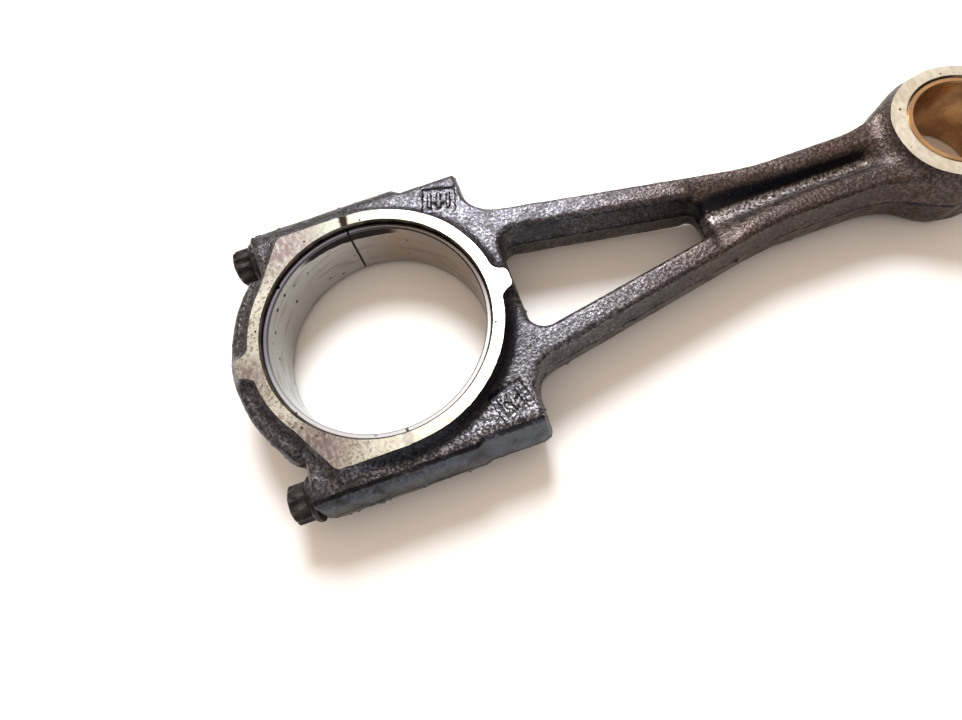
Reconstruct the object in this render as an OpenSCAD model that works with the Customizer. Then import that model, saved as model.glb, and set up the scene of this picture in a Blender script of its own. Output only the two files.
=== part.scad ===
// Connecting rod with a split big end: forged rod, bolted bearing cap,
// two half-round bearing shells and a small-end bush.
// Origin: centre of the big-end bore, midway between its side faces.
// +X points to the small end, +Z along the bores.

/* [Bearings] */
// Distance between the two bore centres
centre_distance = 130; // [120:1:145]
// Bore of the two big-end shells, the crankpin's size
crankpin_bore = 46; // [45:0.1:46.6]
// Bore in the forging that holds the shells
housing_bore = 48.4; // [48:0.1:48.6]
// Length of the shells along the crankpin
shell_width = 15.4; // [13:0.1:16.8]
// Bore of the small-end bush, the gudgeon pin's size
pin_bore = 19; // [17:0.1:20]
// Outer size of the small-end bush
bush_outer = 21.8; // [21:0.1:22.4]
// Chamfer on the edges of shells and bush
bearing_chamfer = 0.3; // [0.2:0.1:0.4]

/* [Forging] */
// Width over the machined side faces of the big end
big_end_width = 18; // [16:0.2:20]
// Width over the machined side faces of the small end
small_end_width = 18; // [15:0.2:20]
// Height of the forged flanges and bosses
forging_height = 13.4; // [12.8:0.1:15]
// Thickness of the web at the bottom of the channels
web_thickness = 7.2; // [6:0.1:9]
// Width of the big end over the bolt bosses
boss_width = 66.4; // [65.6:0.2:70]
// Outer radius of the raised ring round the housing bore
ring_radius = 27.1; // [26.6:0.1:27.6]
// Outer radius of the cap's back
cap_radius = 32; // [31:0.1:33]
// Outer radius of the small-end eye
eye_radius = 14; // [13.5:0.1:16]

/* [Cap bolts] */
// Distance between the two bolt axes
bolt_spacing = 57.2; // [57:0.1:58]
// Bolt shank diameter
bolt_size = 7; // [6.6:0.1:7]
// Shank length under the head
bolt_length = 38; // [34:0.5:40]
// Height of the bolt head without its flange
head_height = 4.2; // [4:0.1:6]
// Head size across its points
head_points = 8.4; // [8:0.1:9.2]
// Diameter of the flange under the head
flange_size = 10.4; // [9.8:0.1:11.6]

/* [Hidden] */
$fn = 96;

big = 400;
arc_steps = 8;
boss_y = boss_width / 2;
bolt_y = bolt_spacing / 2;
flange_height = 1.2;
tip_chamfer = 0.8;
bolt_points = 12;

// The milled seat under each bolt head
seat_x = -22;
seat_inner_y = 21;

// Radial play: the bolt turns in the rod's thread and passes freely through the cap
thread_play = 0.05;
cap_hole_play = 0.15;
hole_reserve = 3;

housing_chamfer = 0.3;
oil_hole = 3.5;

// The edges of the bolt bosses slope off: steeply over the split, wider on the end pads
boss_end_x = 26.8;
pad_start_x = 12;
boss_edge_z = 4.6;
pad_edge_z = 0.8;
edge_inset = 2.1;

// The legs narrow towards the shank, inside and outside
leg_outer_slope = -0.198;
leg_inner_slope = -0.186;
leg_root_x = 27;
window_base_x = 30.6;
window_tip_x = 73.6;
shank_y = 6.9;

function leg_outer_y(x) = 16.6 + leg_outer_slope * (x - 37.3);
function leg_inner_y(x) = 12.45 + leg_inner_slope * (x - window_base_x);
leg_end_x = 37.3 + (shank_y - 16.6) / leg_outer_slope;

// One point and its corner radius per row: upper half of the rod's outline
ROD_HALF = [
    [0, boss_y, 0],
    [boss_end_x, boss_y, 2],
    [leg_root_x, leg_outer_y(leg_root_x), 6],
    [leg_end_x, shank_y, 60],
    [centre_distance - 19, shank_y, 25],
    [centre_distance - 6, eye_radius * 0.88, 0]
];
WINDOW_HALF = [
    [window_base_x, leg_inner_y(window_base_x), 3.6],
    [window_tip_x, leg_inner_y(window_tip_x), 3]
];
// Channel between the flanges, from the window's tip to the eye
CHANNEL_HALF = [
    [window_tip_x - 3, 4.6, 0],
    [90, 2.3, 30],
    [centre_distance - 17, 1.9, 1.8]
];
CAP_HALF = [
    [0, boss_y, 0],
    [-20.6, boss_y, 1.2],
    [seat_x, boss_y - 1.7, 0.8],
    [seat_x, seat_inner_y, 0.8]
];
// Machined faces of the cap run out into corners towards the bolts
CAP_LAND_HALF = [
    [0, 26.9, 0],
    [-14.9, 26.9, 1.5],
    [-20.6, 17.2, 3],
    [-24, 11, 0]
];

function unit(v) = v / norm(v);
function xy(p) = [p[0], p[1]];
function corner(a, b, c, r) = r == 0 ? [b] :
    let(
        u = unit(a - b),
        v = unit(c - b),
        half = acos(u * v) / 2,
        centre = b + unit(u + v) * r / sin(half),
        from = b + u * r / tan(half) - centre,
        to = b + v * r / tan(half) - centre,
        start = atan2(from[1], from[0]),
        sweep = (atan2(to[1], to[0]) - start + 540) % 360 - 180
    )
    [for (i = [0:arc_steps])
        centre + r * [cos(start + sweep * i / arc_steps), sin(start + sweep * i / arc_steps)]];
function rounded(pts) = let(n = len(pts))
    [for (i = [0:n - 1])
        each corner(xy(pts[(i + n - 1) % n]), xy(pts[i]), xy(pts[(i + 1) % n]), pts[i][2])];
function both_halves(pts) =
    concat(pts, [for (i = [len(pts) - 1:-1:0]) [pts[i][0], -pts[i][1], pts[i][2]]]);
// The cap's round back, from one bolt seat to the other
function cap_back(r) = let(edge = asin(seat_inner_y / r), steps = 28)
    [for (i = [0:steps]) let(a = 180 - edge + 2 * edge * i / steps) [r * cos(a), r * sin(a), 0]];

module slab(pts, height) {
    linear_extrude(height = height, center = true) polygon(rounded(pts));
}

module halfspace(side) {
    translate([side * big / 2, 0, 0]) cube(big, center = true);
}

module chamfered_bore(d, width, chamfer) {
    cylinder(d = d, h = big, center = true);
    for (side = [0, 1]) mirror([0, 0, side])
        translate([0, 0, width / 2 - chamfer])
            cylinder(d1 = d, d2 = d + 4 * chamfer, h = 2 * chamfer);
}

module bolt_hole(y, from_x, to_x, play) {
    translate([from_x, y, 0]) rotate([0, 90, 0])
        cylinder(r = bolt_size / 2 + play, h = to_x - from_x);
}

// Raised ring that carries the machined side faces, with a short tab outwards
module ring_land(tab_x, tab_y) {
    cylinder(r = ring_radius, h = big_end_width, center = true);
    slab(both_halves([[0, tab_y, 0], [tab_x, tab_y, 1.5]]), big_end_width);
}

// Takes the sloping edges off all four corners of the boss section
module boss_edges(from_x, to_x, edge_z) {
    for (y_side = [0, 1], z_side = [0, 1]) mirror([0, y_side, 0]) mirror([0, 0, z_side])
        translate([from_x, 0, 0]) rotate([90, 0, 90]) linear_extrude(height = to_x - from_x)
            polygon([
                [boss_y, edge_z], [boss_y - edge_inset, forging_height / 2],
                [boss_y - edge_inset, big], [big, big], [big, edge_z]
            ]);
}

module channels() {
    for (side = [0, 1]) mirror([0, 0, side])
        translate([0, 0, (web_thickness + big) / 2]) slab(both_halves(CHANNEL_HALF), big);
}

module rod() color("dimgray") difference() {
    union() {
        slab(both_halves(ROD_HALF), forging_height);
        ring_land(29.6, 3);
        translate([centre_distance, 0, 0])
            cylinder(r = eye_radius, h = small_end_width, center = true);
    }
    halfspace(-1);
    chamfered_bore(housing_bore, big_end_width, housing_chamfer);
    slab(both_halves(WINDOW_HALF), big);
    channels();
    boss_edges(-1, pad_start_x, boss_edge_z);
    boss_edges(pad_start_x, boss_end_x + 1, pad_edge_z);
    for (y = [-bolt_y, bolt_y])
        bolt_hole(y, -1, seat_x + bolt_length + hole_reserve, thread_play);
    translate([centre_distance, 0, 0])
        chamfered_bore(bush_outer, small_end_width, housing_chamfer);
    translate([centre_distance, 0, 0]) rotate([0, 90, 0]) cylinder(d = oil_hole, h = big);
}

module bearing_cap() color("dimgray") difference() {
    union() {
        slab(concat(CAP_HALF, cap_back(cap_radius),
                    [for (i = [len(CAP_HALF) - 1:-1:0])
                        [CAP_HALF[i][0], -CAP_HALF[i][1], CAP_HALF[i][2]]]), forging_height);
        slab(both_halves(CAP_LAND_HALF), big_end_width);
        ring_land(-29.6, 3);
    }
    halfspace(1);
    chamfered_bore(housing_bore, big_end_width, housing_chamfer);
    boss_edges(seat_x - 1, 1, boss_edge_z);
    for (y = [-bolt_y, bolt_y]) bolt_hole(y, -big / 2, 1, cap_hole_play);
}

// Tube with chamfered ends
module bearing_tube(inner, outer, width) {
    c = bearing_chamfer;
    rotate_extrude()
        polygon([
            [inner / 2 + c, -width / 2], [outer / 2 - c, -width / 2],
            [outer / 2, -width / 2 + c], [outer / 2, width / 2 - c],
            [outer / 2 - c, width / 2], [inner / 2 + c, width / 2],
            [inner / 2, width / 2 - c], [inner / 2, -width / 2 + c]
        ]);
}

module bearing_shell(side) color("silver") difference() {
    bearing_tube(crankpin_bore, housing_bore, shell_width);
    halfspace(-side);
}

module small_end_bush() color("peru") translate([centre_distance, 0, 0]) difference() {
    bearing_tube(pin_bore, bush_outer, small_end_width - 0.4);
    rotate([0, 90, 0]) cylinder(d = oil_hole, h = big);
}

// Twelve-point head on a round flange; the shank's tip is chamfered
module cap_bolt(y) color("gray") translate([seat_x, y, 0]) rotate([0, 90, 0]) {
    r = bolt_size / 2;
    rotate_extrude()
        polygon([
            [0, -flange_height], [flange_size / 2 - 0.5, -flange_height],
            [flange_size / 2, -0.7], [flange_size / 2, 0], [r, 0],
            [r, bolt_length - tip_chamfer], [r - tip_chamfer, bolt_length], [0, bolt_length]
        ]);
    translate([0, 0, -flange_height - head_height]) linear_extrude(height = head_height)
        polygon([for (i = [0:2 * bolt_points - 1]) let(
                    a = 180 * i / bolt_points,
                    radius = head_points / 2 * (i % 2 == 0 ? 1 : 0.88)
                ) radius * [cos(a), sin(a)]]);
}

rod();
bearing_cap();
bearing_shell(1);  // upper_bearing_shell
bearing_shell(-1);  // lower_bearing_shell
small_end_bush();
cap_bolt(bolt_y);  // left_cap_bolt
cap_bolt(-bolt_y);  // right_cap_bolt
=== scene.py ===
"""Looks of the connecting rod: forged rod and cap with machined faces, bearing shells, bush and cap bolts.

Shape functions work in millimetres, in the CAD frame: origin in the centre of the big-end bore,
+X towards the small end, +Z along the bores. Meshes are written in metres.
"""

import math

import bmesh
import bpy
import numpy as np
import openvdb
from mathutils import Matrix, Vector, noise


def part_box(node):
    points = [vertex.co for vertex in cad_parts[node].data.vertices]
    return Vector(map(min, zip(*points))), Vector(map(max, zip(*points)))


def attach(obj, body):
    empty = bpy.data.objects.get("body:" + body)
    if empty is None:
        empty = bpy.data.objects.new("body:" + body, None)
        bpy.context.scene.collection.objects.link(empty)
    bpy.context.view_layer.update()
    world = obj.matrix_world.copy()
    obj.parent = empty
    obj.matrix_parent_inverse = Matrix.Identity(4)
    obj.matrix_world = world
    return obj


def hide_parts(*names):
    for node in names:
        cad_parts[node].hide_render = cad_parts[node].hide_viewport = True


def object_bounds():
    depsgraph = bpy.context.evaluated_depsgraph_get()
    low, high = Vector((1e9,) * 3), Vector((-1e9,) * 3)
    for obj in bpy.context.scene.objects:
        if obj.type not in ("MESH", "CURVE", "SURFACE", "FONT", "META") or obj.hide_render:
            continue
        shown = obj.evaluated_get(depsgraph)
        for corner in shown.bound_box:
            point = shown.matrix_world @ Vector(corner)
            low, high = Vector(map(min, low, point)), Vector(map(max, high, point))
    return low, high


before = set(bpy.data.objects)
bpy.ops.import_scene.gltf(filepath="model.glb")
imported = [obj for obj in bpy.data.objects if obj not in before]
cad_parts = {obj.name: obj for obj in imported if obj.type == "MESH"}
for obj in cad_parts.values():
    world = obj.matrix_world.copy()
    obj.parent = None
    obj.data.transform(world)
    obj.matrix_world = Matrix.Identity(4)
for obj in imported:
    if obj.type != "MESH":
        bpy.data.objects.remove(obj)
cad_low, cad_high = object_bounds()

MM = 0.001


def box_mm(node):
    """A CAD node's low and high corners, in millimetres."""
    low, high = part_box(node)
    return low / MM, high / MM


# Sizes that the CAD model gives
_, rod_high = box_mm("rod")
cap_low, _ = box_mm("bearing_cap")
_, shell_high = box_mm("upper_bearing_shell")
bush_low, bush_high = box_mm("small_end_bush")
bolt_low, bolt_high = box_mm("left_cap_bolt")

FACE_Z = rod_high.z
HOUSING_RADIUS = shell_high.y
SHELL_HALF_WIDTH = shell_high.z
EYE_X = (bush_low.x + bush_high.x) / 2
EYE_RADIUS = rod_high.x - EYE_X
BUSH_RADIUS = bush_high.y
BUSH_HALF_WIDTH = bush_high.z
CAP_RADIUS = -cap_low.x
BOLT_Y = (bolt_low.y + bolt_high.y) / 2
BOLT_TIP_X = bolt_high.x
BOLT_END_X = bolt_low.x

# Bearings
CRANKPIN_RADIUS = 23.0
PIN_RADIUS = 9.5
OIL_HOLE_RADIUS = 1.75
BORE_CHAMFER = 0.3

# Bolts and their holes
BOLT_PITCH = 1.0
SHANK_RADIUS = 3.5
THREAD_DEPTH = 0.5
ROD_HOLE_RADIUS = 3.55
CAP_HOLE_RADIUS = 3.65
ROD_HOLE_RESERVE = 3.0

# Forging: half height of its flanges, and what it stands proud before its side faces are cut
TOP_Z = 6.7
PROUD = 0.7
BOSS_Y = 33.2
RING_RADIUS = 26.7
RING_FILLET = 3.2
LEG_DRAFT = 0.09
LEG_GROWTH = 0.85
EDGE_ROUND = 1.1
FLASH_HEIGHT = 0.28
FLASH_WIDTH = 0.5
PAD_START_X = 12.0
WEB_Z = 3.6
SEAT_X = -22.0
SEAT_INNER_Y = 21.0
CHANNEL_START_X = 72.3
CHANNEL_END_X = 110.5

# The tongue on the ring, towards the legs and towards the cap's back
TAB_START_X = 25.5
TAB_END_X = 29.8
TAB_HALF_WIDTH = 1.7
TAB_FLARE = 2.9

# Sunk panels on the end pads
PANEL_X = 21.2
PANEL_Y = 24.6
PANEL_TURN = 16
PANEL_DEPTH = 0.55
PANEL_HALF_LENGTH = 3.6
PANEL_HALF_WIDTH = 3.0
BAR_SPACING = 2.1
BAR_HALF_LENGTH = 2.0
BAR_HALF_WIDTH = 0.42
CROSSPIECE_HALF_LENGTH = 1.3

ARC_STEPS = 10
SHARP_ANGLE = math.radians(38)
FORGED, MACHINED, BORED, FRACTURED = range(4)

# One point and its corner radius per row: upper half of each outline
ROD_HALF = [
    (-1.0, BOSS_Y, 0),
    (26.6, BOSS_Y, 2.2),
    (26.8, 18.7, 8.0),
    (86.3, 6.9, 60),
    (EYE_X - 19, 6.9, 25),
    (EYE_X - 6, 12.3, 0),
]
WINDOW_HALF = [(30.6, 12.1, 3.4), (73.4, 4.15, 2.6)]
CAP_HALF = [
    (1.0, BOSS_Y, 0),
    (-20.6, BOSS_Y, 1.2),
    (SEAT_X - 0.2, BOSS_Y - 1.7, 0.8),
    (SEAT_X - 0.2, SEAT_INNER_Y, 0.8),
]
CAP_LAND_HALF = [(1.0, 26.9, 0), (-14.9, 26.9, 1.5), (-20.6, 17.2, 3), (-24.0, 11.0, 0), (-24.0, 5.5, 0)]

# ---------------------------------------------------------------- distance fields


def soft_max(a, b, radius):
    """The larger of two distances, with a round of that radius on the edge between them."""
    corner = np.hypot(np.maximum(a + radius, 0), np.maximum(b + radius, 0))
    return np.minimum(np.maximum(a, b), -radius) + corner


def soft_min(a, b, radius):
    """The smaller of two distances, with a fillet of that radius between them."""
    return -soft_max(-a, -b, radius)


def smooth_step(value, start, end):
    """Rises smoothly from 0 at start to 1 at end."""
    t = np.clip((value - start) / (end - start), 0, 1)
    return t * t * (3 - 2 * t)


def rounded(rows):
    """A closed outline from rows of x, y and corner radius."""
    points = []
    for i, (x, y, radius) in enumerate(rows):
        here = Vector((x, y))
        if radius == 0:
            points.append(here)
            continue
        u = (Vector(rows[i - 1][:2]) - here).normalized()
        v = (Vector(rows[(i + 1) % len(rows)][:2]) - here).normalized()
        half = u.angle(v) / 2
        centre = here + (u + v).normalized() * radius / math.sin(half)
        first = here + u * radius / math.tan(half) - centre
        last = here + v * radius / math.tan(half) - centre
        start = math.atan2(first.y, first.x)
        sweep = (math.atan2(last.y, last.x) - start + 3 * math.pi) % (2 * math.pi) - math.pi
        for k in range(ARC_STEPS + 1):
            angle = start + sweep * k / ARC_STEPS
            points.append(centre + radius * Vector((math.cos(angle), math.sin(angle))))
    return points


def both_halves(rows):
    """The rows, then the same ones backwards and mirrored over the X axis."""
    return list(rows) + [(x, -y, radius) for x, y, radius in reversed(rows)]


def outline_distance(x, y, points):
    """Signed distance to a closed outline, negative inside."""
    inside = np.zeros(np.broadcast(x, y).shape, bool)
    nearest = np.full(inside.shape, 1e6, np.float32)
    for a, b in zip(points, points[1:] + points[:1]):
        edge = b - a
        if edge.length < 1e-6:
            continue
        px = x - a.x
        py = y - a.y
        t = np.clip((px * edge.x + py * edge.y) / edge.length_squared, 0, 1)
        nearest = np.minimum(nearest, np.hypot(px - edge.x * t, py - edge.y * t))
        if edge.y != 0:
            crosses = (y < a.y) != (y < b.y)
            inside ^= crosses & (px < edge.x * py / edge.y)
    return np.where(inside, -nearest, nearest)


def boss_shoulder(x, y, z):
    """The sloping edges of the bolt bosses: steep beside the split, wide on the end pads."""
    wide = 0.724 * (y - 32.6) + 0.690 * (z - 4.6)
    pad = 0.877 * (y - 33.4) + 0.481 * z
    return wide + (pad - wide) * smooth_step(x, PAD_START_X - 0.6, PAD_START_X + 2.0)


def channel(x, y, z):
    """The hollow between the flanges, from the window's tip to the eye.

    floor_y and top_y are its half widths on the web and 1.9 mm above it. Both narrow towards the eye.
    """
    floor_y = 0.7 + 0.95 * np.exp(-(x - 74) / 14)
    top_y = 1.9 + 3.1 * np.exp(-(x - 74.5) / 9)
    slope = (top_y - floor_y) / 1.9
    wall = (y - floor_y - slope * (z - WEB_Z)) / np.sqrt(1 + slope * slope)
    far_end = (x - CHANNEL_END_X - 0.9 * (z - WEB_Z)) / 1.35
    ends = np.maximum(CHANNEL_START_X - x, far_end)
    return soft_max(soft_max(wall, ends, 1.6), WEB_Z - z, 0.9)


def marking_pad(x, y, z, side):
    """A sunk panel with three raised bars and a short crosspiece, on one end pad."""
    turn = math.radians(-PANEL_TURN * side)
    px = x - PANEL_X
    py = y - PANEL_Y * side
    u = px * math.cos(turn) + py * math.sin(turn)
    v = py * math.cos(turn) - px * math.sin(turn)
    panel = np.maximum(np.abs(u) - PANEL_HALF_LENGTH, np.abs(v) - PANEL_HALF_WIDTH)
    bars = np.full(panel.shape, 1e6, np.float32)
    for centre_u in (-BAR_SPACING, 0.0, BAR_SPACING):
        one_bar = np.maximum(np.abs(u - centre_u) - BAR_HALF_WIDTH, np.abs(v) - BAR_HALF_LENGTH)
        bars = np.minimum(bars, one_bar)
    crosspiece = np.maximum(np.abs(u) - CROSSPIECE_HALF_LENGTH, np.abs(v + 0.4 * side) - BAR_HALF_WIDTH)
    bars = np.minimum(bars, crosspiece)
    return soft_max(soft_max(panel, -bars, 0.15), TOP_Z - PANEL_DEPTH - z, 0.1)


def parting_flash(z):
    """The low ridge left where the two forging dies meet."""
    return FLASH_HEIGHT * np.exp(-((z / FLASH_WIDTH) ** 2))


def ring_tab(x, y):
    """The short tongue on the ring's middle line, with hollow flanks."""
    flare = TAB_FLARE * np.exp(-np.maximum(x - TAB_START_X - 0.5, 0) / 1.2)
    flank = (y - TAB_HALF_WIDTH - flare) / 1.6
    return np.maximum(soft_max(x - TAB_END_X, flank, 0.5), TAB_START_X - x)


def rod_distance(x, y, z):
    """Distance to the rod's forging before machining. Its legs are a little wider than their outline."""
    ay = np.abs(y)
    az = np.abs(z)
    growth = 0.1 + (LEG_GROWTH - 0.1) * smooth_step(x, 24, 33)
    side = outline_distance(x, y, rounded(both_halves(ROD_HALF))) - growth
    side = side + LEG_DRAFT * az - parting_flash(z)
    body = soft_max(soft_max(side, boss_shoulder(x, ay, az), 0.8), az - TOP_Z, EDGE_ROUND)
    body = soft_max(body, -channel(x, ay, az), 1.3)
    land = np.minimum(np.hypot(x, y) - RING_RADIUS, ring_tab(x, ay))
    body = soft_min(body, np.maximum(land, az - FACE_Z - PROUD), RING_FILLET)
    window = outline_distance(x, y, rounded(both_halves(WINDOW_HALF)))
    window = window - LEG_DRAFT * az + parting_flash(z)
    body = soft_max(body, -window, 1.2)
    eye = np.hypot(x - EYE_X, y) - EYE_RADIUS - 0.15 + 0.05 * az - parting_flash(z)
    body = soft_min(body, soft_max(eye, az - FACE_Z - PROUD, 0.6), 4.5)
    for end in (-1, 1):
        body = soft_max(body, -marking_pad(x, y, z, end), 0.25)
    return np.maximum(body, -x - 0.8)


def cap_distance(x, y, z):
    """Distance to the cap's forging before machining."""
    ay = np.abs(y)
    az = np.abs(z)
    boss = outline_distance(x, y, rounded(both_halves(CAP_HALF)))
    back = np.maximum(np.hypot(x, y) - CAP_RADIUS, ay - SEAT_INNER_Y)
    side = soft_min(boss, back, 0.5) - 0.05 + 0.03 * az - parting_flash(z)
    body = soft_max(soft_max(side, boss_shoulder(x, ay, az), 0.8), az - TOP_Z, 1.9)
    land = outline_distance(x, y, rounded(both_halves(CAP_LAND_HALF)))
    land = np.minimum(np.minimum(land, np.hypot(x, y) - RING_RADIUS), ring_tab(-x, ay))
    body = soft_min(body, np.maximum(land, az - FACE_Z - PROUD), RING_FILLET)
    return np.maximum(body, x - 0.8)


# ---------------------------------------------------------------- meshes


def add_crumbs(field, axes, step, zone, count, seed):
    """Grit on the surface: small balls melted into the field, thickest where zone(x, y, z) is high."""
    dice = np.random.default_rng(seed)
    skin = np.argwhere(np.abs(field) < 0.3 * step)
    places = np.stack([axes[i][skin[:, i]] for i in range(3)], axis=1)
    weight = zone(*places.T)
    for place in places[dice.choice(len(places), count, replace=False, p=weight / weight.sum())]:
        radius = 0.16 + 0.34 * dice.random() ** 2
        reach = radius + 4 * step
        ends = [np.searchsorted(axis, (c - reach, c + reach)) for axis, c in zip(axes, place)]
        window = tuple(slice(*pair) for pair in ends)
        x, y, z = np.meshgrid(*(axis[part] for axis, part in zip(axes, window)), indexing="ij", sparse=True)
        ball = np.sqrt((x - place[0]) ** 2 + (y - place[1]) ** 2 + (z - place[2]) ** 2) - radius
        field[window] = soft_min(field[window], ball, 0.2)


def field_mesh(name, distance, low, high, step, zone, count, seed):
    """A mesh of the surface where distance(x, y, z) is zero, with grit on it, in millimetres."""
    axes = [np.arange(a, b + step, step, dtype=np.float32) for a, b in zip(low, high)]
    field = distance(*np.meshgrid(*axes, indexing="ij", sparse=True)).astype(np.float32)
    add_crumbs(field, axes, step, zone, count, seed)
    band = 3.0
    volume = openvdb.FloatGrid(band)
    volume.copyFromArray(np.clip(field / step, -band, band))
    points, _, quads = volume.convertToPolygons(isovalue=0.0)
    mesh = bpy.data.meshes.new(name)
    mesh.from_pydata((points * step + np.array(low)).tolist(), [], quads[:, ::-1].tolist())
    mesh.update()
    return mesh


def add_object(name, mesh):
    obj = bpy.data.objects.new(name, mesh)
    bpy.context.scene.collection.objects.link(obj)
    return obj


def fractal(p, scale, octaves, offset):
    """Noise round zero with features of that size."""
    return noise.fractal(p / scale + offset, 0.9, 2.0, octaves)


def roughen(mesh, amount):
    """Moves each vertex along its normal by amount(position, normal), in millimetres."""
    moved = [v.co + v.normal * amount(v.co, v.normal) for v in mesh.vertices]
    mesh.vertices.foreach_set("co", [c for co in moved for c in co])
    mesh.update()


def forging_relief(offset):
    """Slow swells and the fine peel of a shot-blasted forging."""

    def amount(p, normal):
        swell = 0.08 * fractal(p, 7.0, 2, offset)
        peel = 0.045 * fractal(p, 0.95, 2, offset)
        return swell + peel

    return amount


def lathe(name, profile, steps, start=0.0, sweep=2 * math.pi, centre_x=0.0):
    """A closed profile of radius and z rows, turned round the Z axis; a part turn gets flat ends."""
    full = abs(sweep - 2 * math.pi) < 1e-6
    rings = steps if full else steps + 1
    count = len(profile)
    points = []
    for i in range(rings):
        angle = start + sweep * i / steps
        for radius, z in profile:
            x = centre_x + radius * math.cos(angle)
            points.append((x, radius * math.sin(angle), z))
    faces = []
    for i in range(steps):
        j = (i + 1) % rings
        for k in range(count):
            m = (k + 1) % count
            faces.append((i * count + k, j * count + k, j * count + m, i * count + m))
    if not full:
        faces.append(tuple(range(count)))
        faces.append(tuple(reversed(range(steps * count, steps * count + count))))
    mesh = bpy.data.meshes.new(name)
    mesh.from_pydata(points, [], faces)
    tidy_normals(mesh)
    return mesh


def tidy_normals(mesh):
    bm = bmesh.new()
    bm.from_mesh(mesh)
    bmesh.ops.recalc_face_normals(bm, faces=bm.faces)
    bm.to_mesh(mesh)
    bm.free()


def block(name, low, high):
    """A box between two corners."""
    mesh = bpy.data.meshes.new(name)
    bm = bmesh.new()
    bmesh.ops.create_cube(bm, size=1)
    size = Vector(high) - Vector(low)
    middle = (Vector(high) + Vector(low)) / 2
    for v in bm.verts:
        v.co = Vector((v.co.x * size.x, v.co.y * size.y, v.co.z * size.z)) + middle
    bm.to_mesh(mesh)
    bm.free()
    return mesh


def bore_cutter(name, radius, half_width, chamfer, centre_x=0.0):
    """A round bar that widens at both side faces, so that it leaves a chamfered bore."""
    far = half_width + 3
    wide = radius + chamfer + 3
    profile = [
        (radius, -half_width + chamfer), (radius, half_width - chamfer),
        (wide, far), (0, far), (0, -far), (wide, -far),
    ]
    mesh = bpy.data.meshes.new(name)
    bm = bmesh.new()
    rings = []
    steps = 256
    # Rings 0 and 1 bound the straight bore, 5 and 2 the wide ends, and 4 and 3 are the ends' centres
    for r, z in profile:
        if r == 0:
            rings.append([bm.verts.new((centre_x, 0, z))])
        else:
            angles = [2 * math.pi * i / steps for i in range(steps)]
            rings.append([bm.verts.new((centre_x + r * math.cos(a), r * math.sin(a), z)) for a in angles])
    for i in range(steps):
        j = (i + 1) % steps
        for a, b in ((0, 1), (1, 2), (5, 0)):
            bm.faces.new((rings[a][i], rings[a][j], rings[b][j], rings[b][i]))
        bm.faces.new((rings[2][i], rings[2][j], rings[3][0]))
        bm.faces.new((rings[5][j], rings[5][i], rings[4][0]))
    bmesh.ops.recalc_face_normals(bm, faces=bm.faces)
    bm.to_mesh(mesh)
    bm.free()
    return mesh


def bar(name, radius, start, end, steps=48):
    """A round bar from one point to another."""
    axis = Vector(end) - Vector(start)
    mesh = bpy.data.meshes.new(name)
    bm = bmesh.new()
    turn = axis.to_track_quat("Z", "Y").to_matrix().to_4x4()
    place = Matrix.Translation((Vector(start) + Vector(end)) / 2) @ turn
    size = {"segments": steps, "radius1": radius, "radius2": radius, "depth": axis.length}
    bmesh.ops.create_cone(bm, cap_ends=True, matrix=place, **size)
    bm.to_mesh(mesh)
    bm.free()
    return mesh


def cut(obj, cutters):
    """Takes each cutter mesh off the object."""
    for mesh in cutters:
        tool = add_object("tool", mesh)
        modifier = obj.modifiers.new("cut", "BOOLEAN")
        modifier.object = tool
        modifier.operation = "DIFFERENCE"
        modifier.solver = "MANIFOLD"
        result = bpy.data.meshes.new_from_object(obj.evaluated_get(bpy.context.evaluated_depsgraph_get()))
        obj.modifiers.clear()
        old = obj.data
        obj.data = result
        bpy.data.meshes.remove(old)
        bpy.data.objects.remove(tool)


def side_face_cutters():
    """What machining takes off above and below the forging's side faces."""
    far = 200
    above = block("above", (-far, -far, FACE_Z), (far, far, FACE_Z + 5))
    below = block("below", (-far, -far, -FACE_Z - 5), (far, far, -FACE_Z))
    return [above, below]


def finish_piece(obj, name, body, node, materials, pick=None):
    mesh = obj.data
    mesh.materials.clear()
    for material in materials:
        mesh.materials.append(material)
    for face in mesh.polygons:
        face.material_index = pick(face.center, face.normal) if pick else 0
    mesh.transform(Matrix.Scale(MM, 4))
    bm = bmesh.new()
    bm.from_mesh(mesh)
    for edge in bm.edges:
        edge.smooth = len(edge.link_faces) == 2 and edge.calc_face_angle(0) < SHARP_ANGLE
    for face in bm.faces:
        face.smooth = True
    bm.to_mesh(mesh)
    bm.free()
    obj.name = name
    mesh.name = name
    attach(obj, body)
    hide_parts(node)
    return obj


def forging_face(centre, normal):
    """Which material a face of the rod or the cap takes."""
    if abs(centre.z) > FACE_Z - 0.01 and abs(normal.z) > 0.99:
        return MACHINED
    if math.hypot(centre.x, centre.y) < HOUSING_RADIUS + BORE_CHAMFER:
        return BORED
    if math.hypot(centre.x - EYE_X, centre.y) < BUSH_RADIUS + BORE_CHAMFER:
        return BORED
    if abs(centre.x) < 0.01 and abs(normal.x) > 0.99:
        return FRACTURED
    from_bolt = math.hypot(abs(centre.y) - BOLT_Y, centre.z)
    if from_bolt < CAP_HOLE_RADIUS + 0.05 and abs(normal.x) < 0.5:
        return BORED
    return FORGED


def rod_grit(x, y, z):
    """Grit gathers on the outer faces of the bosses and under the parting line."""
    boss = (np.abs(y) > 31.5) & (np.abs(z) < 5.5)
    return 0.04 + 1.0 * boss + 0.25 * ((x > 24) & (np.abs(z) < 3))


def cap_grit(x, y, z):
    """Grit cakes the cap's back and the ends of its bosses."""
    back = (np.hypot(x, y) > 31) & (x < -8)
    ends = (np.abs(y) > 31.5) | ((x < -19) & (np.abs(y) > 20))
    return 0.05 + 1.0 * back + 0.8 * ends


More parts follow.
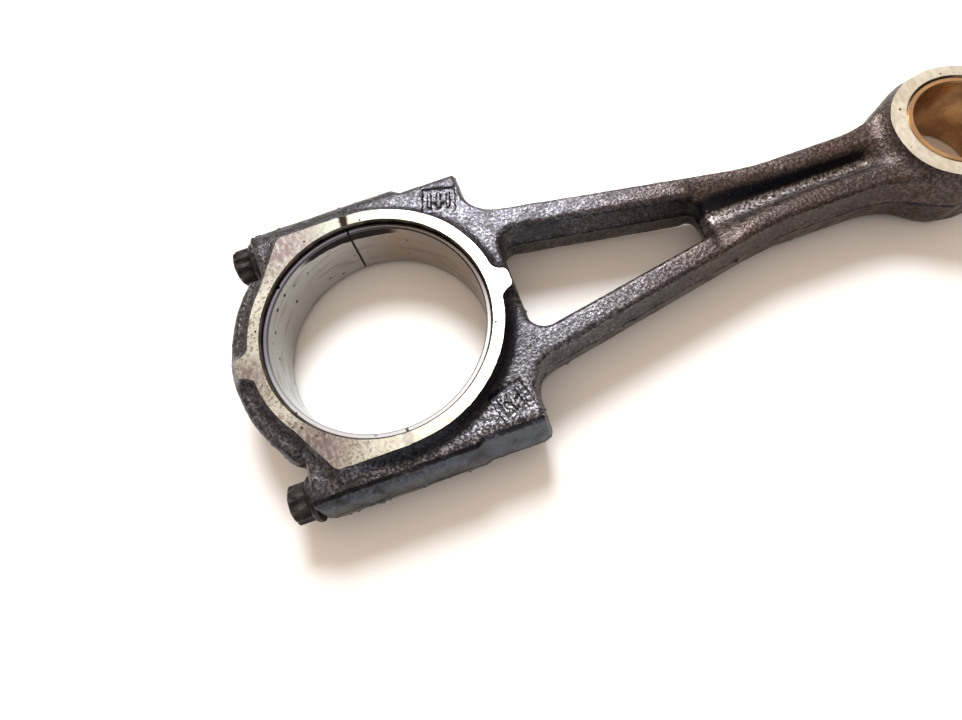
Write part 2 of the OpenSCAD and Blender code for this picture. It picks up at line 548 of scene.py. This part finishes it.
def make_rod(materials):
    low = (-2.0, -36, -11)
    high = (146.5, 36, 11)
    mesh = field_mesh("rod_forging", rod_distance, low, high, step=0.42, zone=rod_grit, count=240, seed=5)
    roughen(mesh, forging_relief(Vector((0, 0, 0))))
    obj = add_object("rod_forging", mesh)
    hole_end = BOLT_TIP_X + ROD_HOLE_RESERVE
    cutters = side_face_cutters()
    cutters.append(block("split", (-5, -60, -20), (0, 60, 20)))
    cutters.append(bore_cutter("housing", HOUSING_RADIUS, FACE_Z, BORE_CHAMFER))
    cutters.append(bore_cutter("eye", BUSH_RADIUS, FACE_Z, BORE_CHAMFER, EYE_X))
    cutters.append(bar("oil", OIL_HOLE_RADIUS, (EYE_X, 0, 0), (EYE_X + 20, 0, 0)))
    for side in (-1, 1):
        y = side * BOLT_Y
        cutters.append(bar("bolt_hole", ROD_HOLE_RADIUS, (-3, y, 0), (hole_end, y, 0)))
    cut(obj, cutters)
    return finish_piece(obj, "forged_rod", "rod_assembly", "rod", materials, forging_face)


def make_cap(materials):
    low = (-34, -36, -11)
    high = (2.0, 36, 11)
    mesh = field_mesh("cap_forging", cap_distance, low, high, step=0.34, zone=cap_grit, count=430, seed=6)
    roughen(mesh, forging_relief(Vector((31, 7, 3))))
    obj = add_object("cap_forging", mesh)
    cutters = side_face_cutters()
    cutters.append(block("split", (0, -60, -20), (5, 60, 20)))
    cutters.append(bore_cutter("housing", HOUSING_RADIUS, FACE_Z, BORE_CHAMFER))
    for side in (-1, 1):
        y = side * BOLT_Y
        cutters.append(bar("bolt_hole", CAP_HOLE_RADIUS, (-30, y, 0), (3, y, 0)))
    cut(obj, cutters)
    node = "bearing_cap"
    return finish_piece(obj, "forged_cap", "cap_assembly", node, materials, forging_face)


def tube_profile(inner, outer, half_width):
    """A tube's wall with chamfered ends, as rows of radius and z."""
    c = BORE_CHAMFER
    return [
        (inner + c, -half_width), (outer - c, -half_width),
        (outer, -half_width + c), (outer, half_width - c),
        (outer - c, half_width), (inner + c, half_width),
        (inner, half_width - c), (inner, -half_width + c),
    ]


def make_shell(side, material):
    """One half-round shell, a hair short at its ends so that the joint shows."""
    gap = math.radians(0.12)
    start = -math.pi / 2 + gap if side == "upper" else math.pi / 2 + gap
    profile = tube_profile(CRANKPIN_RADIUS, HOUSING_RADIUS, SHELL_HALF_WIDTH)
    obj = add_object("shell", lathe("shell", profile, 144, start, math.pi - 2 * gap))
    body = "rod_assembly" if side == "upper" else "cap_assembly"
    node = side + "_bearing_shell"
    return finish_piece(obj, side + "_shell", body, node, [material])


def make_bush(material):
    profile = tube_profile(PIN_RADIUS, BUSH_RADIUS, BUSH_HALF_WIDTH)
    obj = add_object("bush", lathe("bush", profile, 144, centre_x=EYE_X))
    cut(obj, [bar("oil", OIL_HOLE_RADIUS, (EYE_X, 0, 0), (EYE_X + 20, 0, 0))])
    return finish_piece(obj, "pin_bush", "rod_assembly", "small_end_bush", [material])


def bolt_rows():
    """Rows of x, radius, depth of the head's points and depth of the thread, from head end to tip."""
    head = BOLT_END_X
    rows = [
        (head + 0.5, 1.6, 0, 0), (head + 0.4, 2.3, 0, 0), (head, 2.7, 0, 0), (head, 3.2, 0.02, 0),
        (head + 0.25, 3.75, 0.08, 0), (head + 0.6, 4.15, 0.13, 0), (head + 1.5, 4.2, 0.13, 0),
        (head + 2.6, 4.2, 0.13, 0), (head + 3.7, 4.2, 0.13, 0), (head + 4.0, 4.35, 0.06, 0),
        (head + 4.2, 4.55, 0, 0), (head + 4.6, 4.8, 0, 0), (head + 4.9, 4.9, 0, 0),
        (SEAT_X, 4.85, 0, 0), (SEAT_X, 3.8, 0, 0), (SEAT_X + 0.3, SHANK_RADIUS, 0, 0),
        (SEAT_X + 14.5, SHANK_RADIUS, 0, 0), (SEAT_X + 15.5, 3.2, 0, 0), (SEAT_X + 17.0, 3.2, 0, 0),
    ]
    x = SEAT_X + 17.2
    while x < BOLT_TIP_X - 0.8:
        rows.append((x, SHANK_RADIUS, 0, THREAD_DEPTH * min(1, x - SEAT_X - 17)))
        x += BOLT_PITCH / 8
    rows.append((BOLT_TIP_X - 0.6, 3.1, 0, 0))
    rows.append((BOLT_TIP_X, 2.5, 0, 0))
    return rows


def bolt_grime(p, normal):
    """Dirt that lumps the head and flange, and leaves the shank clean."""
    return 0.09 * fractal(p, 1.3, 2, Vector((0, 0, 9))) if p.x < SEAT_X - 0.3 else 0.0


def make_bolt(name, y, material):
    steps = 96
    bm = bmesh.new()
    rings = []
    rows = bolt_rows()
    for x, radius, points, thread in rows:
        ring = []
        for i in range(steps):
            angle = 2 * math.pi * i / steps
            phase = (x / BOLT_PITCH - angle / (2 * math.pi)) % 1.0
            r = radius * (1 - points * abs(math.sin(6 * angle))) - thread * (1 - abs(2 * phase - 1))
            ring.append(bm.verts.new((x, y + r * math.cos(angle), r * math.sin(angle))))
        rings.append(ring)
    for first, second in zip(rings, rings[1:]):
        for i in range(steps):
            j = (i + 1) % steps
            bm.faces.new((first[i], first[j], second[j], second[i]))
    bm.faces.new(rings[0])
    bm.faces.new(reversed(rings[-1]))
    bmesh.ops.recalc_face_normals(bm, faces=bm.faces)
    mesh = bpy.data.meshes.new(name)
    bm.to_mesh(mesh)
    bm.free()
    obj = add_object(name, mesh)
    roughen(mesh, bolt_grime)
    side = "left" if y > 0 else "right"
    return finish_piece(obj, name, side + "_bolt", side + "_cap_bolt", [material])


# ---------------------------------------------------------------- materials


class Recipe:
    """A material's node graph, written as calls. Lengths are in millimetres."""

    def __init__(self, name, **shader):
        self.material = bpy.data.materials.new(name)
        self.material.use_nodes = True
        self.tree = self.material.node_tree
        self.shader = self.tree.nodes["Principled BSDF"]
        self.place = self.add("ShaderNodeTexCoord").outputs["Object"]
        axes = self.add("ShaderNodeSeparateXYZ", {"Vector": self.place}).outputs
        self.x, self.y, self.z = (self.times(axis, 1 / MM) for axis in axes)
        for key, value in shader.items():
            self.put(self.shader.inputs[key.replace("_", " ").title()], value)

    def add(self, kind, inputs=None, **settings):
        node = self.tree.nodes.new(kind)
        for key, value in settings.items():
            setattr(node, key, value)
        for key, value in (inputs or {}).items():
            self.put(node.inputs[key], value)
        return node

    def put(self, socket, value):
        if isinstance(value, bpy.types.NodeSocket):
            self.tree.links.new(value, socket)
        elif isinstance(value, tuple) and len(value) == 3 and socket.type == "RGBA":
            socket.default_value = (*value, 1)
        else:
            socket.default_value = value

    def math(self, operation, a, b=0.0):
        return self.add("ShaderNodeMath", {0: a, 1: b}, operation=operation).outputs[0]

    def times(self, first, *others):
        for other in others:
            first = self.math("MULTIPLY", first, other)
        return first

    def largest(self, first, *others):
        for other in others:
            first = self.math("MAXIMUM", first, other)
        return first

    def absolute(self, value):
        return self.math("ABSOLUTE", value)

    def mapping(self, scale, shift):
        """The piece's own coordinates, scaled and shifted."""
        inputs = {"Vector": self.place, "Scale": scale, "Location": shift}
        return self.add("ShaderNodeMapping", inputs).outputs[0]

    def noise(self, size, detail=2.0, roughness=0.5, distortion=0.0, stretch=(1, 1, 1), shift=(0, 0, 0)):
        """Cloudy values round 0.5 with features of that size."""
        place = self.mapping(tuple(s / (MM * size) for s in stretch), shift)
        inputs = {"Vector": place, "Scale": 1.0}
        inputs.update({"Detail": detail, "Roughness": roughness, "Distortion": distortion})
        return self.add("ShaderNodeTexNoise", inputs).outputs["Fac"]

    def cells(self, size, shift=(0, 0, 0)):
        """Distance to the nearest of scattered points that lie about that far apart."""
        place = self.mapping((1 / (MM * size),) * 3, shift)
        return self.add("ShaderNodeTexVoronoi", {"Vector": place, "Scale": 1.0}).outputs["Distance"]

    def span(self, value, start, end, low=0.0, high=1.0):
        """Low before start, high after end, and smooth between them."""
        inputs = {"Value": value, "From Min": start, "From Max": end, "To Min": low, "To Max": high}
        return self.add("ShaderNodeMapRange", inputs, interpolation_type="SMOOTHSTEP").outputs[0]

    def mix(self, factor, a, b):
        node = self.add("ShaderNodeMix", {0: factor}, data_type="RGBA")
        self.put(node.inputs[6], a)
        self.put(node.inputs[7], b)
        return node.outputs[2]

    def blend(self, factor, a, b):
        """The same for plain values."""
        node = self.add("ShaderNodeMix", {0: factor}, data_type="FLOAT")
        self.put(node.inputs[2], a)
        self.put(node.inputs[3], b)
        return node.outputs[0]

    def bump(self, layers):
        """Relief from rows of height value and depth."""
        normal = None
        for height, depth in layers:
            inputs = {"Height": height, "Distance": depth * MM, "Strength": 1.0}
            if normal:
                inputs["Normal"] = normal
            normal = self.add("ShaderNodeBump", inputs).outputs["Normal"]
        self.put(self.shader.inputs["Normal"], normal)

    def from_axis(self, x=0.0, y=0.0):
        """Distance in plan from a line along Z, through the big-end bore unless told otherwise."""
        dx = self.math("SUBTRACT", self.x, x)
        dy = self.math("SUBTRACT", self.y, y)
        return self.math("SQRT", self.math("ADD", self.times(dx, dx), self.times(dy, dy)))

    def near(self, x, y, reach, soft):
        """One close to a point in plan, none farther than its reach."""
        return self.span(self.from_axis(x, y), reach - soft, reach + soft, 1.0, 0.0)

    def done(self, colour, roughness):
        self.put(self.shader.inputs["Base Color"], colour)
        self.put(self.shader.inputs["Roughness"], roughness)
        return self.material


def bare_forging(r, peel, patches):
    """Purplish black, worn grey on its fine bumps and browner towards the small end."""
    brown = r.times(r.span(r.x, 30.0, 85.0), r.span(patches, 0.3, 0.6, 0.6, 1.0))
    dark = r.mix(brown, (0.042, 0.037, 0.046), (0.038, 0.024, 0.021))
    worn = r.mix(brown, (0.17, 0.165, 0.175), (0.105, 0.080, 0.070))
    wear = r.times(r.span(peel, 0.40, 0.68), r.span(patches, 0.3, 0.62, 0.45, 1.0))
    return r.mix(wear, dark, worn)


def boss_tones(r, colour, past_edge, peel, patches):
    """The -Y boss's bevel is blue-grey as a painted reflection of cool light, and its top is worn bright
    with painted glints; the +Y one is sooty.
    """
    # Painted reflection: the -Y bevel is coloured blue-grey as if lit by cool light from that side.
    bevel = r.times(r.span(past_edge, 0.2, 0.7), r.span(patches, 0.3, 0.6, 0.55, 0.9))
    colour = r.mix(bevel, colour, (0.070, 0.080, 0.094))
    soot = r.times(r.span(r.y, 27.5, 30.5), r.span(patches, 0.3, 0.55, 0.45, 0.8))
    colour = r.mix(soot, colour, (0.018, 0.016, 0.019))
    # Partly wear and partly painted highlight: the bumps on top of the -Y boss near the cap are painted
    # bright as glints.
    ridge = r.times(r.span(r.y, -18.0, -26.0), r.span(r.x, -16.0, 0.0), r.span(past_edge, 0.0, -0.8))
    return r.mix(r.times(ridge, r.span(peel, 0.46, 0.66)), colour, (0.29, 0.285, 0.315))


def painted_shade_and_oil(r, past_edge, gutter, oil):
    """Painted shade, also made glossy like oil: on the foot of the ring towards -Y, on the +Y wall of the
    channel, and in the crease over the bevel.
    """
    uneven = r.times(r.math("SUBTRACT", oil, 0.5), 1.6)
    around = r.math("ADD", r.from_axis(), uneven)
    lower = r.times(r.span(r.y, 8.0, -14.0, 0.45, 0.95), r.span(r.x, -24.0, -12.0, 0.3, 1.0))
    # Painted shade: the ring's foot darkens most towards -Y, where its slopes face away from the light.
    ring_foot = r.times(r.span(around, 30.4, 28.8), lower)
    # Painted shade on the channel's +Y wall.
    gutter_wall = r.times(r.span(r.y, 0.7, 1.4), r.span(r.y, 5.0, 3.4), gutter)
    # Painted shade in the crease along the bevel's edge.
    crease = r.times(r.span(r.absolute(past_edge), 0.65, 0.25), r.span(oil, 0.3, 0.5, 0.5, 0.95))
    return r.largest(ring_foot, gutter_wall, crease)


def forged_skin():
    """Shot-blasted skin under grime and old oil. The pale web is a painted highlight, the black line along
    the parting ridge is a painted shadow, and the dark foot of the ring, the channel wall and the crease
    are painted shade.
    """
    r = Recipe("forged_skin", metallic=0.8)
    peel = r.noise(0.62, 2.0, 0.5, distortion=0.3)
    grain = r.noise(0.25, 2.0, 0.6, shift=(3, 1, 5))
    patches = r.noise(8.0, 3.0, 0.6, shift=(1, 7, 2))
    oil = r.noise(3.5, 2.0, 0.5, shift=(9, 2, 4))
    # How far outside the upper edge of the -Y boss's bevel
    past_edge = r.math("SUBTRACT", r.times(r.y, -1.0), r.span(r.x, 11.4, 14.0, 30.9, 30.0))
    colour = boss_tones(r, bare_forging(r, peel, patches), past_edge, peel, patches)
    grime = r.times(r.span(oil, 0.55, 0.72), r.span(r.x, 45.0, -10.0, 0.2, 0.7))
    colour = r.mix(grime, colour, (0.026, 0.020, 0.023))
    gutter = r.times(r.span(r.absolute(r.z), 6.6, 5.6), r.span(r.x, 69.0, 73.0), r.span(r.x, 114.0, 106.0))
    # Painted highlight: the web in the channel is painted pale as if lit.
    web = r.times(gutter, r.span(r.absolute(r.math("ADD", r.y, 0.5)), 2.1, 1.0))
    colour = r.mix(r.times(web, r.span(peel, 0.40, 0.62)), colour, (0.22, 0.205, 0.20))
    # Painted shade in hollows and on slopes, glossy like oil; the black line at mid-height is a painted
    # shadow.
    shade_and_oil = painted_shade_and_oil(r, past_edge, gutter, oil)
    # Painted shadow: a black line under the parting ridge at mid-height.
    parting_shadow = r.times(r.span(r.absolute(r.z), 0.6, 0.3), r.span(oil, 0.35, 0.5, 0.5, 0.9))
    colour = r.mix(r.largest(shade_and_oil, parting_shadow), colour, (0.006, 0.006, 0.010))
    r.bump([(peel, 0.16), (grain, 0.04)])
    return r.done(colour, r.blend(shade_and_oil, r.span(oil, 0.35, 0.65, 0.30, 0.46), 0.25))


def machined_steel():
    """Ground side faces: cream silver with scuffs, dark specks and brown stains.

    They are darker on the cap and towards +Y as painted shade, pitted on the cap, and stained at its
    corners.
    """
    r = Recipe("machined_steel", metallic=1.0)
    patches = r.noise(6.0, 3.0, 0.6, shift=(4, 4, 1))
    scuffs = r.noise(1.0, 3.0, 0.65, stretch=(1, 0.5, 1), shift=(2, 8, 3))
    pits = r.noise(0.55, 2.0, 0.6, shift=(5, 5, 5))
    specks = r.cells(1.7, shift=(1, 2, 3))
    speck_zone = r.noise(5.0, 2.0, 0.5, shift=(7, 1, 1))
    cap_side = r.span(r.x, 6.0, -14.0)
    colour = r.mix(r.span(scuffs, 0.35, 0.7), (0.66, 0.64, 0.57), (0.52, 0.49, 0.41))
    # Painted shade: the ground faces are darker on the cap and on the +Y side, where they reflect less
    # light.
    painted_shade_zone = r.largest(r.times(r.span(r.y, 8.0, 20.0), r.span(r.x, 26.0, 12.0)), cap_side)
    colour = r.mix(r.times(painted_shade_zone, 0.7), colour, (0.33, 0.33, 0.28))
    # Painted shade: a darker band over the +Y part of the ring, where the reflection of the light is toned
    # down.
    painted_shade_band = r.times(r.span(r.x, 21.0, 9.0), r.span(r.x, -15.0, -7.0), r.span(r.y, 12.0, 22.0))
    colour = r.mix(r.times(painted_shade_band, 0.8), colour, (0.17, 0.17, 0.145))
    colour = r.mix(r.span(patches, 0.50, 0.72, 0.0, 0.5), colour, (0.34, 0.27, 0.21))
    pitting = r.times(r.span(pits, 0.50, 0.64), cap_side)
    colour = r.mix(r.times(pitting, 0.8), colour, (0.14, 0.11, 0.095))
    upper = r.near(-16, 26, 7.5, 5)
    lower = r.near(-18, -22.5, 7, 5)
    back = r.near(-28.5, -3, 4.5, 4)
    corner = r.largest(upper, lower, back)
    stain = r.times(corner, r.span(scuffs, 0.35, 0.6, 0.5, 1.0))
    colour = r.mix(stain, colour, (0.145, 0.11, 0.11))
    dots = r.times(r.span(specks, 0.10, 0.20, 1.0, 0.0), r.span(speck_zone, 0.5, 0.6))
    wobble = r.times(r.math("SUBTRACT", patches, 0.5), 3.0)
    joint_gap = r.absolute(r.math("ADD", r.x, wobble))
    joint = r.times(r.span(joint_gap, 0.7, 1.5, 1.0, 0.0), r.span(r.y, -5.0, 5.0, 0.3, 1.0))
    dirt = r.largest(dots, joint)
    colour = r.mix(dirt, colour, (0.012, 0.008, 0.006))
    r.bump([(scuffs, 0.02), (pits, 0.015)])
    return r.done(colour, r.span(patches, 0.35, 0.7, 0.36, 0.52))


def oily_bore():
    """Bored steel behind the shells and bush, dark with oil."""
    r = Recipe("oily_bore", metallic=1.0)
    rings = r.noise(0.5, 2.0, 0.5, stretch=(0.1, 0.1, 1))
    patches = r.noise(4.0, 2.0, 0.5)
    colour = r.mix(r.span(patches, 0.4, 0.65), (0.10, 0.088, 0.075), (0.20, 0.17, 0.145))
    r.bump([(rings, 0.01)])
    return r.done(colour, r.span(patches, 0.3, 0.7, 0.25, 0.4))


def fractured_steel():
    """The split faces, cracked apart: grey and crystalline."""
    r = Recipe("fractured_steel", metallic=1.0)
    crystals = r.noise(0.6, 4.0, 0.7)
    patches = r.noise(5.0, 2.0, 0.5)
    colour = r.mix(r.span(crystals, 0.35, 0.65), (0.16, 0.15, 0.145), (0.36, 0.35, 0.34))
    colour = r.mix(r.span(patches, 0.5, 0.7, 0.0, 0.7), colour, (0.06, 0.045, 0.035))
    r.bump([(crystals, 0.35)])
    return r.done(colour, 0.45)


def shell_lining():
    """Satin grey bearing metal, browner in the rod's half, with black oil on it and in the joint."""
    r = Recipe("shell_lining", metallic=1.0)
    streaks = r.noise(2.4, 3.0, 0.55, stretch=(0.22, 0.22, 1.5), shift=(2, 2, 2))
    patches = r.noise(8.0, 2.0, 0.5, shift=(5, 5, 0))
    fine = r.noise(0.5, 2.0, 0.5, stretch=(0.15, 0.15, 1))
    brown = r.span(r.x, -8.0, 10.0)
    colour = r.mix(brown, (0.49, 0.51, 0.51), (0.37, 0.32, 0.29))
    colour = r.mix(r.span(streaks, 0.50, 0.68, 0.0, 0.6), colour, (0.24, 0.19, 0.165))
    edge = r.span(r.absolute(r.z), SHELL_HALF_WIDTH - 0.5, SHELL_HALF_WIDTH - 0.3)
    # Painted light and shade on the shell's edge: dark towards +Y as painted shade, light grey towards -Y
    # as a painted highlight.
    highlight_side = r.span(r.y, 6.0, -16.0)
    rim_shade_and_highlight = r.mix(r.span(r.x, -2.0, 12.0), (0.135, 0.125, 0.150), (0.085, 0.070, 0.062))
    rim_shade_and_highlight = r.mix(highlight_side, rim_shade_and_highlight, (0.42, 0.42, 0.43))
    colour = r.mix(edge, colour, rim_shade_and_highlight)
    wobble = r.times(r.math("SUBTRACT", r.noise(5.0, 2.0, 0.5, shift=(1, 3, 3)), 0.5), 5.0)
    along = r.times(r.span(r.x, -13.0, -9.5), r.span(r.x, 11.0, 8.5))
    side = r.times(r.span(r.y, 17.0, 19.0), along)
    drop = r.times(r.x, r.x, 0.012)
    level = r.math("ADD", r.math("SUBTRACT", r.z, drop), r.times(wobble, 0.3))
    streak = r.times(side, r.span(level, 4.5, 4.9), r.math("SUBTRACT", 1.0, edge))
    dots = r.span(r.cells(3.2, shift=(4, 1, 8)), 0.10, 0.16, 1.0, 0.0)
    dots = r.times(dots, r.span(patches, 0.45, 0.55))
    joint = r.span(r.absolute(r.x), 0.15, 0.35, 1.0, 0.0)
    oil = r.largest(streak, dots, joint)
    colour = r.mix(oil, colour, (0.010, 0.009, 0.012))
    r.bump([(fine, 0.008)])
    satin = r.blend(edge, r.span(streaks, 0.4, 0.7, 0.28, 0.42), 0.55)
    return r.done(colour, r.blend(oil, satin, 0.12))


def bronze():
    """The bush: turned bronze, browned by oil."""
    r = Recipe("bush_bronze", metallic=1.0)
    rings = r.noise(0.5, 2.0, 0.5, stretch=(0.1, 0.1, 1))
    patches = r.noise(5.0, 3.0, 0.6)
    colour = r.mix(r.span(patches, 0.35, 0.65), (0.52, 0.33, 0.17), (0.33, 0.20, 0.11))
    r.bump([(rings, 0.012)])
    return r.done(colour, r.span(patches, 0.35, 0.65, 0.25, 0.42))


def bolt_skin():
    """Blackened bolt steel with brown grime and a little rust."""
    r = Recipe("bolt_skin", metallic=0.6)
    grime = r.noise(1.6, 3.0, 0.6, shift=(6, 3, 1))
    grain = r.noise(0.4, 2.0, 0.6)
    colour = r.mix(r.span(grime, 0.4, 0.62), (0.010, 0.008, 0.008), (0.038, 0.032, 0.030))
    colour = r.mix(r.span(grime, 0.68, 0.76, 0.0, 0.5), colour, (0.12, 0.05, 0.02))
    r.bump([(grime, 0.12), (grain, 0.05)])
    return r.done(colour, r.span(grime, 0.3, 0.7, 0.35, 0.6))


def pale_floor():
    r = Recipe("pale_floor", metallic=0.0)
    cloud = r.noise(60.0, 2.0, 0.5)
    return r.done(r.mix(cloud, (0.86, 0.85, 0.84), (0.90, 0.89, 0.88)), 0.6)


# ---------------------------------------------------------------- stage


def make_camera():
    """A hand-held close view from above the cap bolts, tilted and rolled a little."""
    data = bpy.data.cameras.new("camera")
    data.sensor_width = 36
    data.lens = 25.67
    data.clip_start = 0.001
    camera = bpy.data.objects.new("camera", data)
    bpy.context.scene.collection.objects.link(camera)
    azimuth = Matrix.Rotation(-0.0539, 4, "Z")
    tilt = Matrix.Rotation(0.3609, 4, "X")
    roll = Matrix.Rotation(-0.2857, 4, "Z")
    camera.matrix_world = Matrix.Translation((0.01548, -0.06326, 0.13583)) @ azimuth @ tilt @ roll
    bpy.context.scene.camera = camera


def make_floor():
    reach = 1.5
    z = cad_low.z
    mesh = bpy.data.meshes.new("floor")
    corners = [(-reach, -reach, z), (reach, -reach, z), (reach, reach, z), (-reach, reach, z)]
    mesh.from_pydata(corners, [], [(0, 1, 2, 3)])
    mesh.materials.append(pale_floor())
    add_object("floor", mesh)


def soft_light(name, place, size, energy, colour):
    data = bpy.data.lights.new(name, "AREA")
    data.shape = "DISK"
    data.size = size
    data.energy = energy
    data.color = colour
    light = bpy.data.objects.new(name, data)
    light.location = place
    light.rotation_euler = Vector(place).to_track_quat("Z", "Y").to_euler()
    bpy.context.scene.collection.objects.link(light)


def make_light():
    world = bpy.data.worlds.new("studio")
    bpy.context.scene.world = world
    world.use_nodes = True
    tree = world.node_tree
    direction = tree.nodes.new("ShaderNodeTexCoord").outputs["Generated"]
    upward = tree.nodes.new("ShaderNodeVectorMath")
    upward.operation = "DOT_PRODUCT"
    upward.inputs[1].default_value = (0.0, 0.34, 0.94)
    tree.links.new(direction, upward.inputs[0])
    dome = tree.nodes.new("ShaderNodeMapRange")
    dome.interpolation_type = "SMOOTHSTEP"
    for key, value in (("From Min", 0.0), ("From Max", 0.85), ("To Min", 0.10), ("To Max", 1.05)):
        dome.inputs[key].default_value = value
    tree.links.new(upward.outputs["Value"], dome.inputs["Value"])
    background = tree.nodes["Background"]
    background.inputs["Color"].default_value = (1.0, 0.82, 0.67, 1)
    tree.links.new(dome.outputs[0], background.inputs["Strength"])
    soft_light("key", (0.10, 0.36, 0.42), 0.24, 4.6, (0.92, 0.97, 1.0))
    soft_light("fill", (0.02, -0.55, 0.16), 0.30, 0.5, (0.82, 0.90, 1.0))
    bpy.context.scene.view_settings.view_transform = "Standard"


# ---------------------------------------------------------------- the object

# In the order of FORGED, MACHINED, BORED and FRACTURED
steel = [forged_skin(), machined_steel(), oily_bore(), fractured_steel()]
lining = shell_lining()
bolt_material = bolt_skin()
make_rod(steel)
make_cap(steel)
make_shell("upper", lining)
make_shell("lower", lining)
make_bush(bronze())
make_bolt("left_bolt", BOLT_Y, bolt_material)
make_bolt("right_bolt", -BOLT_Y, bolt_material)
make_camera()
make_floor()
make_light()
